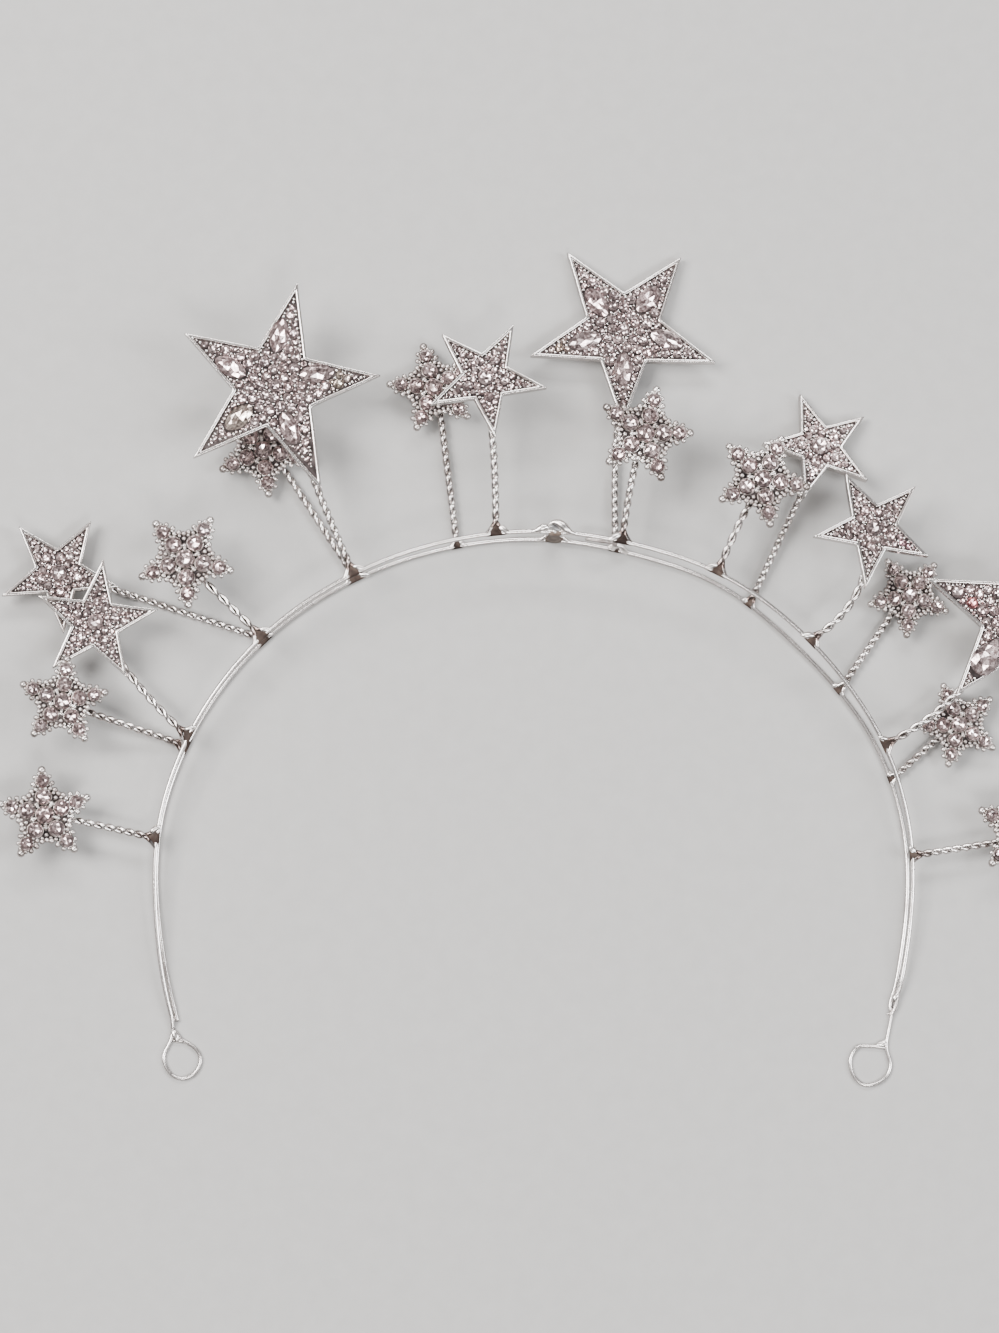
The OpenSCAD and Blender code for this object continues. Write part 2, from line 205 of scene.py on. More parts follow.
def silver_plate(name, shine, dull_share, pits=0.00002, edge=0.35, painted_shade_and_stain=False):
    finish, nodes, links, shader = new_finish(name)
    broad = grain_of(nodes, links, WEAR_SCALE, 5.0)
    fine = grain_of(nodes, links, PIT_SCALE, 3.0)
    shader.inputs["Metallic"].default_value = 1.0
    colour = shades_of(nodes, links, broad, [(dull_share - 0.06, SILVER_DULL), (dull_share + 0.08, SILVER_WORN),
                                             (dull_share + 0.24, SILVER_BRIGHT)])
    # painted shade on the edges that turn away from the eye
    colour = multiplied(nodes, links, colour, edge_shade(nodes, links, edge))
    if painted_shade_and_stain:
        # the tint attribute: painted shade in the twist's valleys, times the heat stain of the soldering
        painted_valley_shade = nodes.new("ShaderNodeAttribute")
        painted_valley_shade.attribute_name = "tint"
        colour = multiplied(nodes, links, colour, painted_valley_shade.outputs["Color"])
    links.new(colour, shader.inputs["Base Color"])
    links.new(between(nodes, links, broad, shine[1], shine[0]), shader.inputs["Roughness"])
    relief(nodes, links, shader, fine, pits)
    return finish


def polar(radius, angle):
    return np.array([radius * math.cos(math.radians(angle)), radius * math.sin(math.radians(angle))])


def band_radius(wire, angle):
    rows = BAND[::-1]
    steps = (-6, -3, 0, 3, 6)
    return float(np.mean([np.interp(angle + s, [r[0] for r in rows], [r[wire] for r in rows]) for s in steps]))


def wire_height(wire, y):
    climb = BAND_LIFT * (y + END_DROP) / (band_radius(FRONT, 90) + END_DROP)
    return WIRE_R + (climb if wire == FRONT else 0.0)


def on_wire(wire, angle):
    x, y = polar(band_radius(wire, angle), angle)
    return np.array([x, y, wire_height(wire, y)])


def softened(path, passes):
    path = np.array(path, float)
    for _ in range(passes):
        path[1:-1] = (path[:-2] + 2 * path[1:-1] + path[2:]) / 4
    return path


def evenly(path, step):
    path = np.array(path, float)
    run = np.concatenate([[0], np.cumsum(np.linalg.norm(np.diff(path, axis=0), axis=1))])
    count = max(3, int(round(run[-1] / step)) + 1)
    spots = np.linspace(0, run[-1], count)
    return np.stack([np.interp(spots, run, path[:, k]) for k in range(3)], axis=1)


def between_rings(rings, sides):
    """The faces between rings of points that lie one after another"""
    return [(a + j, a + (j + 1) % sides, a + sides + (j + 1) % sides, a + sides + j)
            for a in range(0, (rings - 1) * sides, sides) for j in range(sides)]


def closed_rings(rings, sides):
    """The same, with a face over each end"""
    first, last = range(sides), range((rings - 1) * sides, rings * sides)
    return between_rings(rings, sides) + [tuple(first)[::-1], tuple(last)]


def drawn_wire(path, radius, sides=BAND_SIDES):
    path = np.array(path, float)
    count = len(path)
    ahead = np.gradient(path, axis=0)
    ahead /= np.linalg.norm(ahead, axis=1)[:, None]
    side = np.cross(ahead[0], (0, 0, 1.0))
    across = []
    for way in ahead:
        side = side - way * side.dot(way)
        side = side / np.linalg.norm(side)
        across.append(side)
    across = np.array(across)
    up = np.cross(across, ahead)
    turn = np.linspace(0, 2 * math.pi, sides, endpoint=False)
    radius = np.broadcast_to(np.asarray(radius, float), (count,))[:, None, None]
    rings = path[:, None] + radius * (np.cos(turn)[None, :, None] * across[:, None]
                                      + np.sin(turn)[None, :, None] * up[:, None])
    return rings.reshape(-1, 3), closed_rings(count, sides)


def rounded_ends(count, radius, blunt=3):
    sizes = np.full(count, float(radius))
    for k in range(blunt):
        share = math.sqrt(1 - (1 - (k + 0.35) / blunt) ** 2)
        sizes[k] *= share
        sizes[-1 - k] *= share
    return sizes


def together(parts):
    points, faces, start = [], [], 0
    for more, corners in parts:
        points.append(np.asarray(more, float))
        faces += [tuple(start + c for c in f) for f in corners]
        start += len(more)
    return np.vstack(points), faces


def lay_down(name, shape, finish, slot, replaced=(), smooth=True, tints=None):
    points, faces = shape
    mesh = bpy.data.meshes.new(name)
    mesh.from_pydata((np.asarray(points) / 1000).tolist(), [], faces)
    mesh.materials.append(finish)
    mesh.polygons.foreach_set("use_smooth", [smooth] * len(mesh.polygons))
    if tints is not None:
        per_face = len(tints) == len(faces)
        colour = mesh.color_attributes.new("tint", "FLOAT_COLOR", "CORNER" if per_face else "POINT")
        tints = np.repeat(tints, [len(f) for f in faces], axis=0) if per_face else np.asarray(tints)
        colour.data.foreach_set("color", tints.astype(np.float32).ravel())
    mesh.validate()
    piece = bpy.data.objects.new(name, mesh)
    bpy.context.scene.collection.objects.link(piece)
    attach(piece, "root")
    if replaced:
        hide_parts(*replaced)
    return piece


band_silver = silver_plate("band_silver", shine=(0.20, 0.34), dull_share=0.24, edge=0.12)
front_path = [*LEFT_TAIL, *(on_wire(FRONT, a) for a in np.arange(196.4, -12.0, -1.0)), *RIGHT_TAIL]
rear_path = [REAR_LEFT_END, *(on_wire(REAR, a) for a in np.arange(196.0, -12.6, -1.0)), *REAR_TAIL]

# at its two ends each wire was drawn thinner, to these radii
for name, path, left, right in (("front", front_path, 0.35, 0.30), ("rear", rear_path, 0.32, 0.34)):
    path = softened(evenly(path, PATH_STEP), 5)
    spots = np.arange(len(path)) * PATH_STEP
    thinner = np.minimum(np.interp(spots, (0, 4), (left, WIRE_R)),
                         np.interp(spots[::-1], (0, 5, 8.5), (right, right, WIRE_R)))
    lay_down(name + "_band_wire", drawn_wire(path, thinner), band_silver, "silver_plate", [name + "_wire"])

# The link: a web of brown solder that holds the wires apart at the top of the band. On the front wire the two
# cut wire ends arch over each other in a bright lump, with grey solder in the crook between them, and the
# rear wire's ends bend up into the web.
LINK_AT = {FRONT: 87.5, REAR: 86.8}
LINK_WEB = ((1.75, 0.62), (1.62, 0.64), (1.40, 0.58), (1.18, 0.55), (1.08, 0.58), (1.05, 0.60))
ARCH_OVER = (  # along the band, outwards, radius
    (-1.10, 1.30, 0.18), (-0.60, 1.70, 0.36), (0.05, 1.94, 0.58), (0.80, 1.76, 0.80), (1.50, 1.36, 0.92),
    (2.10, 0.90, 0.92), (2.65, 0.42, 0.80), (3.20, 0.05, 0.56), (3.90, -0.09, 0.42), (4.80, -0.17, 0.30))
ARCH_UNDER = (
    (-4.60, -0.17, 0.30), (-3.90, -0.09, 0.42), (-3.30, 0.12, 0.58), (-2.75, 0.50, 0.76), (-2.15, 0.74, 0.86),
    (-1.60, 0.78, 0.78), (-1.20, 0.66, 0.58), (-0.90, 0.50, 0.34))
ARCH_LIFT = 0.35
REAR_ENDS = (  # the same measures, with the height over the rear wire last
    ((-3.9, -0.1, 0.42, 0.0), (-2.7, 0.02, 0.50, 0.02), (-2.0, 0.36, 0.56, 0.25), (-1.4, 0.85, 0.48, 0.7)),
    ((3.9, -0.1, 0.42, 0.0), (2.7, 0.02, 0.50, 0.02), (2.1, 0.34, 0.54, 0.25), (1.7, 0.80, 0.42, 0.7)))
BRIGHT_SHADES = (SILVER_WORN, (0.85, 0.80, 0.77, 1), (0.97, 0.94, 0.91, 1))  # dark, middle and pale
DARK_SHADES = ((0.016, 0.010, 0.008, 1), (0.042, 0.028, 0.023, 1), (0.090, 0.066, 0.054, 1))
GREY_SHADES = ((0.03, 0.03, 0.033, 1), (0.09, 0.09, 0.096, 1), (0.35, 0.34, 0.34, 1))
TAN_SHADES = ((0.045, 0.031, 0.025, 1), (0.105, 0.076, 0.060, 1), (0.20, 0.155, 0.13, 1))
BLOTCH_SCALE = 420
SOLDER_PITS = 1300
WEB_SIDES = 24


def soft_solder(name, shades, rough, metal, gloss=0.5):
    finish, nodes, links, shader = new_finish(name)
    broad = grain_of(nodes, links, BLOTCH_SCALE, 4.0, 0.5)
    fine = grain_of(nodes, links, SOLDER_PITS, 2.0, 0.5)
    shader.inputs["Metallic"].default_value = metal
    links.new(shades_of(nodes, links, broad, list(zip((0.34, 0.52, 0.68), shades))), shader.inputs["Base Color"])
    links.new(between(nodes, links, broad, rough[1], rough[0]), shader.inputs["Roughness"])
    shader.inputs["Specular IOR Level"].default_value = gloss
    relief(nodes, links, shader, fine, 0.00003)
    return finish


def ball(sides, rings):
    points = [(0, 0, 1.0)]
    for i in range(1, rings):
        slope = math.pi * i / rings
        points += [(math.sin(slope) * math.cos(2 * math.pi * j / sides),
                    math.sin(slope) * math.sin(2 * math.pi * j / sides), math.cos(slope)) for j in range(sides)]
    points.append((0, 0, -1.0))
    last, low = len(points) - 1, 1 + (rings - 2) * sides
    faces = [(0, 1 + j, 1 + (j + 1) % sides) for j in range(sides)]
    faces += [(1 + a, 1 + d, 1 + c, 1 + b) for a, b, c, d in between_rings(rings - 1, sides)]
    faces += [(last, low + (j + 1) % sides, low + j) for j in range(sides)]
    return np.array(points), faces


def blob(start, finish, thick, wobble=0.08, seed=1, flat=1.0):
    start, finish = np.array(start, float), np.array(finish, float)
    points, faces = ball(18, 12)
    rng = np.random.default_rng(seed)
    waves = rng.normal(size=(5, 3)) * 1.6
    phases = rng.uniform(0, 6.28, 5)
    uneven = 1 + wobble * np.sin(points @ waves.T + phases).sum(axis=1) / 1.6
    length = np.linalg.norm(finish - start)
    way = (finish - start) / length
    side = np.cross((0, 0, 1.0), way)
    side /= np.linalg.norm(side)
    up = np.cross(way, side)
    local = points * uneven[:, None] * np.array((length / 2 + thick, thick, thick * flat))
    return (start + finish) / 2 + local[:, :1] * way + local[:, 1:2] * side + local[:, 2:] * up, faces


bright_solder = soft_solder("bright_solder", BRIGHT_SHADES, (0.22, 0.36), 1.0)
dark_solder = soft_solder("dark_solder", DARK_SHADES, (0.40, 0.60), 0.0, 0.12)
grey_solder = soft_solder("grey_solder", GREY_SHADES, (0.25, 0.5), 0.6)
tan_solder = soft_solder("tan_solder", TAN_SHADES, (0.40, 0.60), 0.0, 0.12)
outwards = np.array((*polar(1, LINK_AT[FRONT]), 0.0))
along = np.array((outwards[1], -outwards[0], 0.0))
link_high = on_wire(FRONT, LINK_AT[FRONT])
link_low = on_wire(REAR, LINK_AT[REAR])


def by_link(middle, run, out, up=0.0):
    return middle + run * along + out * outwards + (0, 0, up)


def arch(middle, rows, lift=0.0):
    rows = np.array([(*row, 0.0)[:4] for row in rows])
    spots = np.linspace(0, len(rows) - 1, 6 * len(rows))
    run, out, thick, up = (np.interp(spots, range(len(rows)), rows[:, k]) for k in range(4))
    path = np.array([by_link(middle, *place) for place in zip(run, out, up)])
    path[:, 2] += lift * np.sin(np.linspace(0, math.pi, len(spots)))
    thick = softened(thick[:, None], 4)[:, 0] * rounded_ends(len(spots), 1.0, 4)
    return drawn_wire(softened(path, 5), thick, 18)


lay_down("link_arches", together([
    arch(link_high, ARCH_OVER, ARCH_LIFT), arch(link_high, ARCH_UNDER, ARCH_LIFT),
    arch(link_low, REAR_ENDS[0]), arch(link_low, REAR_ENDS[1]),
    blob(by_link(link_high, -0.05, 0.10, 0.50), by_link(link_high, 0.20, -0.15, 0.50), 0.30, 0.05, 51),
    blob(by_link(link_high, 1.60, -0.28, 0.40), by_link(link_high, 1.65, -0.38, 0.40), 0.26, 0.05, 52)]),
    bright_solder, "silver_plate")
lay_down("link_crook", blob(by_link(link_high, -0.45, 0.92, 0.15), by_link(link_high, 0.75, 0.62, 0.15), 0.74, 0.12,
                            8, 0.9), grey_solder, "solder")
web = []
spots = np.linspace(0, len(LINK_WEB) - 1, 21)
sizes = softened([[np.interp(x, range(len(LINK_WEB)), [r[k] for r in LINK_WEB]) for k in (0, 1)] for x in spots], 3)
for share, (wide, thick) in zip(spots / spots[-1], sizes):
    middle = link_low + (link_high - link_low - 0.2 * outwards) * share
    web += [middle + wide * math.cos(t) * along + thick * math.sin(t) * outwards
            for t in np.linspace(0, 2 * math.pi, WEB_SIDES, endpoint=False)]
lay_down("link_web", together([
    (web, closed_rings(len(spots), WEB_SIDES)),
    blob(by_link(link_low, -1.5, 0, 0.1), by_link(link_low, 1.5, 0, 0.1), 0.60, 0.06, 5, 0.85),
    blob(by_link(link_high, -0.7, -0.2), by_link(link_high, 1.1, -0.25), 0.56, 0.08, 3)]),
    tan_solder, "solder", ["wire_link"])

# The eyelets: at each end the front wire is bent on into a loop for a ribbon or pin. Its end comes back to the
# neck and is closed there with beads of bright solder. The left loop is a teardrop and the right one is
# flattened on top, and the rear wire is cut off and soldered on just above the neck.
LOOP_WIRE_R = 0.36
LOOP_PATHS = {
    "left_eyelet": (
        (-71.41, -23.2), (-71.45, -25.0), (-71.89, -26.72), (-72.78, -28.42), (-73.11, -29.83), (-72.66, -31.53),
        (-71.46, -33.17), (-69.47, -33.88), (-67.49, -33.18), (-66.31, -31.82), (-65.9, -30.12), (-66.39, -28.65),
        (-67.54, -27.48), (-68.68, -26.8), (-69.77, -26.1), (-70.45, -25.15), (-71.05, -24.3)),
    "right_eyelet": (
        (71.08, -25.2), (70.80, -26.75), (70.8, -28.02), (71.11, -29.32), (71.53, -30.76), (71.4, -32.19),
        (70.71, -33.49), (69.23, -34.72), (67.03, -35.32), (65.28, -34.77), (63.9, -33.05), (63.4, -30.75),
        (63.76, -29.32), (64.48, -28.17), (65.51, -27.53), (67.12, -27.51), (68.58, -27.56), (69.75, -27.74),
        (70.57, -27.95))}
LOOP_BEADS = {  # start, end, radius, flatness
    "left_eyelet": (
        ((-70.9, -26.5), (-69.2, -26.45), 0.42, 0.85), ((-71.0, -24.9), (-70.45, -26.1), 0.66, 0.62),
        ((-70.25, -25.7), (-70.15, -25.95), 0.50, 1.0), ((-71.42, -21.6), (-71.38, -22.9), 0.46, 0.9)),
    "right_eyelet": (
        ((70.65, -26.55), (69.0, -27.3), 0.44, 0.75), ((70.45, -27.1), (69.7, -27.45), 0.52, 0.75),
        ((71.9, -20.9), (71.8, -21.25), 0.46, 1.0), ((71.8, -21.05), (70.95, -21.11), 0.15, 1.0),
        ((72.80, -17.1), (72.5, -18.2), 0.78, 1.1), ((72.7, -19.9), (72.3, -20.4), 0.40, 0.9))}


def curved_through(path):
    """More places between the given ones, on a smooth curve through them"""
    path = np.array(path, float)
    for _ in range(2):
        wide = np.vstack([2 * path[0] - path[1], path, 2 * path[-1] - path[-2]])
        fuller = np.empty((2 * len(path) - 1, path.shape[1]))
        fuller[0::2] = path
        fuller[1::2] = (9 * (wide[1:-2] + wide[2:-1]) - wide[:-3] - wide[3:]) / 16
        path = fuller
    return path


for node, path in LOOP_PATHS.items():
    rise = [0.60 if node == "left_eyelet" else 0.42, 0.42] + [LOOP_WIRE_R + 0.03] * (len(path) - 2)
    path = evenly(curved_through([(*place, z) for place, z in zip(path, rise)]), 0.3)
    sizes = np.minimum(rounded_ends(len(path), LOOP_WIRE_R), np.interp(range(len(path)), (0, 9), (0.30, LOOP_WIRE_R)))
    lay_down(node + "_loop", drawn_wire(path, sizes, 12), band_silver, "silver_plate", [node])
    beads = [blob((*start, size + 0.06), (*end, size + 0.06), size, 0.07, 11 + i, flat)
             for i, (start, end, size, flat) in enumerate(LOOP_BEADS[node])]
    lay_down(node + "_solder", together(beads), bright_solder, "silver_plate")

# The stems: each is two strands of the band's own wire, twisted together and bent to bow a little. At the foot
# the strands part and run into the band to either side, and brown solder fills the fork between them.
Ornament = namedtuple("Ornament", "number kind wire foot x y turn lean_to lean aim bow rise size")
ORNAMENTS = [Ornament(i + 1, *row) for i, row in enumerate((
    # kind, wire that the stem leaves, angle of its foot, middle, angle of a ray, way and angle of the
    # lean, how far the stem passes left of the middle, how far it bows to its left, how much it rises,
    # and the size against the usual one
    ("snowflake", FRONT, 170.0, -96.65, 17.6, 94.8, 90, 3, -0.3, 0, 0, 1),
    ("snowflake", REAR, 155.4, -93.35, 39.7, 12.8, 84, 4, 0.3, 0, 6.0, 0.95),
    ("medium", FRONT, 154.3, -87.15, 55.65, 11.7, 60, 4, 0, 0.5, -1.5, 1.02),
    ("medium", REAR, 135.5, -94.75, 65.8, 59.2, 160, 2, 0, 0, 0, 0.99),
    ("snowflake", FRONT, 135.9, -69.6, 67.8, 58.1, 30, 4, 0.4, 0, 0.5, 1.03),
    ("snowflake", REAR, 118.6, -54.55, 91, 62, 130, 2, -1.6, 0, 0, 1),
    ("big", FRONT, 119.2, -52.3, 102.3, 6.4, 90, 2, 0, 0.2, 0.5, 1.02),
    ("snowflake", REAR, 102.0, -20.3, 104, 31.5, 100, -4, -0.8, 0, 0.4, 1),
    ("medium", FRONT, 96.4, -10.5, 104.5, 62.7, 300, 4, 0, -0.3, 0, 1.01),
    ("big", REAR, 77.1, 18.1, 116.3, 52.6, 90, -6, 0, 0.7, 1.2, 0.975),
    ("snowflake", FRONT, 77.0, 21.2, 93.8, 2.7, 170, 6, 0.2, 0.3, 0, 1.05),
    ("snowflake", FRONT, 61.6, 44.8, 85, 63.6, 200, 4, -0.3, 0.3, 0, 1.04),
    ("medium", REAR, 54.5, 57.8, 92.9, 35.3, 70, -14, 0, 0, 2.3, 0.965),
    ("medium", FRONT, 43.8, 67.5, 75.5, 44.8, 250, 4, 0, -2, 0, 1.01),
    ("snowflake", REAR, 35.4, 75.95, 63, 49.6, 40, -2, 0.5, 0, 0.3, 0.92),
    ("big", FRONT, 24.7, 97.45, 58.1, 14, 40, 3, 0, -1.6, 0, 1.01),
    ("snowflake", REAR, 19.8, 85.7, 36.85, 38.5, 20, -2, 0.5, 0, 0.3, 0.94),
    ("snowflake", FRONT, 7.8, 97.8, 15.55, 11, 90, 3, -1.6, 0, 0, 1.03)))]
NODE_NAME = {"big": "big_star_%02d", "medium": "medium_star_%02d", "snowflake": "snowflake_%02d"}
STAR_R = {"big": 20.0, "medium": 12.0}
STRAND_R = 0.425
TWIST_PITCH = 4.0
OTHER_PITCH = {3: 5.8, 5: 6.2, 12: 5.6, 13: 3.5, 14: 6.0, 15: 3.6, 16: 5.8}  # tighter and looser twists
TWIST_WAVER = 0.35
RINGS_PER_TWIST = 22
STRAND_SIDES = 12
CLEAN_FEET = (8, 10, 15, 17)  # no brown stain from the soldering
HEAT_STAIN = np.array((0.28, 0.225, 0.21))
STAIN_REACH = 3.2
ELBOW_STAIN = 0.75
ELBOW_AT = 1.95
CLOSE_FEET = {8: 1.15, 10: 1.25, 13: 1.1, 14: 1.7, 15: 1.1, 16: 1.7, 17: 0.9, 18: 1.2}  # elbows closer together
FORK_TOP = 0.58
FORK_STEP = 0.26
ALONG_WIRE = 1.3
ELBOW_ROW = round(ALONG_WIRE / FORK_STEP)
WEB_EDGE = ((0.50, 0.10), (0.44, 0.30), (0.28, 0.46), (0.0, 0.54))  # how far in from the wire, half thickness
SEAT_SHARE = 0.55
FLAKE_SEAT = 1.6
RAYS = 5
RAY_STEP = 72


def node_of(o):
    return NODE_NAME[o.kind] % o.number


def foot_at(o):
    return polar(band_radius(o.wire, o.foot) + WIRE_R + GAP, o.foot)


def foot_height(o):
    return max(wire_height(o.wire, foot_at(o)[1]), 2 * STRAND_R + GAP / 2)


def star_radius(o):
    return STAR_R[o.kind] * o.size


def seat_of(o):
    dx, dy = foot_at(o) - (o.x, o.y)
    toward = math.degrees(math.atan2(dy, dx))
    if o.kind == "snowflake":
        return np.array((o.x, o.y)) + polar(FLAKE_SEAT, toward) + polar(o.aim, toward - 90)
    ray = o.turn + RAY_STEP * round((toward - o.turn) / RAY_STEP)
    return np.array((o.x, o.y)) + polar(star_radius(o) * SEAT_SHARE, ray)


def set_on_stem(o, points):
    points = np.asarray(points, float)
    seat = seat_of(o)
    turn = np.array(Matrix.Rotation(math.radians(o.turn), 3, "Z"))
    axis = Vector((-math.sin(math.radians(o.lean_to)), math.cos(math.radians(o.lean_to)), 0))
    lean = np.array(Matrix.Rotation(-math.radians(o.lean), 3, axis))
    placed = points @ turn.T + (o.x - seat[0], o.y - seat[1], 0)
    return placed @ lean.T + (*seat, foot_height(o) + o.rise + 2 * STRAND_R + GAP)


def stem_shapes(o):
    height = foot_height(o)
    base, seat = foot_at(o), seat_of(o)
    rise = (seat - base) / np.linalg.norm(seat - base)
    left = np.array((-rise[1], rise[0]))
    bend = CLOSE_FEET.get(o.number, ELBOW_AT)
    start = base + rise * FORK_TOP * bend
    knee = (start + seat) / 2 + 2 * o.bow * left
    length = np.linalg.norm(seat - start)
    pitch = OTHER_PITCH.get(o.number, TWIST_PITCH)
    count = int(length / min(pitch, TWIST_PITCH) * RINGS_PER_TWIST)
    t = np.linspace(0, 1, count)[:, None]
    flat = (1 - t) ** 2 * start + 2 * t * (1 - t) * knee + t * t * seat
    way = (1 - t) * (knee - start) + t * (seat - knee)
    way /= np.linalg.norm(way, axis=1)[:, None]
    across = np.stack([-way[:, 1], way[:, 0], np.zeros(count)], axis=1)
    middle = np.column_stack([flat, height + o.rise * t[:, 0]])
    # a hand twist is never quite even
    rng = np.random.default_rng(100 + o.number)
    waver = TWIST_WAVER * np.sin(np.linspace(0, 9, count) + rng.uniform(0, 6))
    waver -= waver[0]
    phase = 2 * math.pi * length * t[:, 0] / pitch + waver * t[:, 0]
    left_turn = 1 if polar(1, o.foot + 90) @ left > 0 else -1
    reach = math.degrees(1 / band_radius(o.wire, o.foot))
    strands, forks, shades = [], [], []
    for hand in (1, -1):
        twisted = middle + hand * STRAND_R * (np.cos(phase)[:, None] * across + np.sin(phase)[:, None] * (0, 0, 1.0))
        elbow, along_wire = (on_wire(o.wire, o.foot + hand * left_turn * reach * far)
                             for far in (bend, bend + ALONG_WIRE))
        fork = np.vstack([evenly([along_wire, elbow], FORK_STEP)[:-1], evenly([elbow, twisted[0]], FORK_STEP)])
        path = softened(np.vstack([fork[:-1], twisted]), 3)
        strands.append(drawn_wire(path, rounded_ends(len(path), STRAND_R, 2), STRAND_SIDES))
        forks.append(fork)
        # the valleys of the twist get painted shade, darker the deeper they lie,
        # and the first turns and the elbow are stained by the soldering
        spine = np.vstack([fork[:-1] + (0, 0, 9.0), middle])
        depth = np.linalg.norm(strands[-1][0].reshape(len(path), STRAND_SIDES, 3) - spine[:, None], axis=2)
        # painted shade: darker the deeper a point lies in the twist
        painted_valley_shade = 0.32 + 0.68 * np.clip((depth - 0.20) / 0.42, 0, 1) ** 1.2
        ring = np.arange(len(path))
        clean = np.clip((ring - len(fork)) * length / count / STAIN_REACH, 0, 1)
        clean = np.where(ring < len(fork) - 3, ELBOW_STAIN, clean)
        if o.number in CLEAN_FEET:
            clean = np.ones(len(path))
        stain = HEAT_STAIN + (1 - HEAT_STAIN) * clean[:, None]
        painted_shade_and_stain = painted_valley_shade[:, :, None] * stain[:, None]
        shades.append(np.column_stack([painted_shade_and_stain.reshape(-1, 3), np.ones(painted_valley_shade.size)]))
    return strands, forks, middle, np.vstack(shades)


def fork_solder(o, forks):
    """The web between the strands: flush with the band's inner side, and hollowed a little towards its top"""
    rng = np.random.default_rng(300 + o.number)
    spans, thin, slant = 11, 0.05, 8
    inwards = -np.array((*polar(1, o.foot), 0))
    bends, tops = (np.array([fork[row] for fork in forks]) for row in (ELBOW_ROW, -1))
    if math.dist(bends[0], tops[0]) > math.dist(bends[1], tops[0]):
        bends = bends[::-1]
    rows = [(*(bends + inwards * deep), thick) for deep, thick in WEB_EDGE]
    rows += [(*(bends + (tops - bends) * share), WEB_EDGE[-1][1] - 0.26 * share ** 0.7)
             for share in np.arange(1, slant + 1) / slant]
    share = np.linspace(0, 1, spans)
    points = []
    for left, right, thick in rows:
        line = left + (right - left) * share[:, None]
        sag = thick * np.sin(math.pi * np.clip(share, 0.12, 0.88)) ** 0.35 + 0.025 * rng.uniform(-1, 1, spans)
        sag[0] = sag[-1] = thin
        sag = sag[:, None] * (0, 0, 1.0)
        points += [line + sag, (line - sag)[::-1]]
    return np.vstack(points), closed_rings(len(rows), 2 * spans)


stem_silver = silver_plate("stem_silver", shine=(0.12, 0.30), dull_share=0.30, edge=0.40, painted_shade_and_stain=True)
for o in ORNAMENTS:
    strands, forks, middle, shades = stem_shapes(o)
    lay_down("stem_%02d" % o.number, together(strands), stem_silver, "silver_plate", tints=shades)
    seat = middle[-1]
    away = middle[-12] - seat
    away /= np.linalg.norm(away)
    lumps = [fork_solder(o, forks), blob(middle[0], middle[6], 0.36, 0.05, 20 + o.number),
             blob(seat - 0.4 * away + (0, 0, 0.25), seat + 1.1 * away + (0, 0, 0.25), 0.95, 0.1, 40 + o.number, 0.8)]
    lay_down("solder_%02d" % o.number, together(lumps), dark_solder, "solder")
    # the strand nearer to the band's top gets a broad lump in the bright solder finish on its elbow
    fork = max(forks, key=lambda f: f[0][1])
    swell = (0.52 if o.number in CLEAN_FEET else 0.64) + 0.08 * math.sin(2.3 * o.number)
    lay_down("fork_tinning_%02d" % o.number, blob(fork[4], fork[-4], swell, 0.10, 60 + o.number, 0.95),
             bright_solder, "silver_plate")

# The loose end at stem 10: one of its strands was left long, and the dull end lies between the band's wires, to the
# left of the foot. A short strap of bright solder arches over the foot's right side.
dull_plate = silver_plate("dull_plate", shine=(0.30, 0.45), dull_share=0.52, edge=0.3)
loose_end = evenly([(17.2, 72.2, 0.8), (16.5, 72.7, 2.6), (15.4, 73.0, 4.3), (12.6, 73.3, 4.7), (10.1, 73.6, 4.5)],
                   0.3)
lay_down("strand_end_10", drawn_wire(softened(loose_end, 3), rounded_ends(len(loose_end), 0.42), 10), dull_plate,
         "silver_plate")
strap = evenly(curved_through([(15.9, 71.9, 0.9), (16.4, 72.5, 2.2), (17.2, 72.6, 2.7), (18.1, 71.9, 2.0),
                               (18.9, 71.2, 0.8)]), 0.25)
lay_down("strap_10", drawn_wire(strap, rounded_ends(len(strap), 0.50), 12), bright_solder, "silver_plate")

# The stars: flat castings in silver-plated zinc with five sharp rays. A thin bright rim stands round a sunk
# A thin bright rim stands round a sunk face, which is dull and dark between the stones, with oxide and painted shade.
# The side walls are upright, with rounded edges.
NOTCH_SHARE = 0.41
STAR_T = 2.0
RIM_W = 0.70
RECESS = 0.6
TIP_ROUND = 0.60
TIP_DRAWN = 0.35  # how far the rounded tips stand out past the star's radius
TIP_REACH = {(7, 0): 0.3, (7, 1): 0.5, (7, 3): 1.0, (7, 4): 1.9}  # more of it, by ornament and ray
# the sunk face's colours: dark oxide, with painted shade between the stones
FLOOR_SHADES = ((0.034, 0.026, 0.026, 1), (0.094, 0.074, 0.073, 1), (0.22, 0.185, 0.18, 1))
NOTCH = polar(NOTCH_SHARE, RAY_STEP / 2)
EDGE_SHARE = NOTCH[1] / math.hypot(1 - NOTCH[0], NOTCH[1])
RIM_PROFILE = (  # how far in from the outline, height over the back, as shares of the rim and the thickness
    (0.45, 0.0), (0.10, 0.04), (0.0, 0.12), (0.0, 0.55), (0.01, 0.88), (0.05, 0.96), (0.20, 1.0), (0.70, 1.0),
    (0.88, 0.95), (0.97, 0.86), (1.02, 0.72))


def tip_of(radius, number, k):
    return polar(1 + (TIP_DRAWN + TIP_REACH.get((number, k % RAYS), 0)) / radius, RAY_STEP * k)


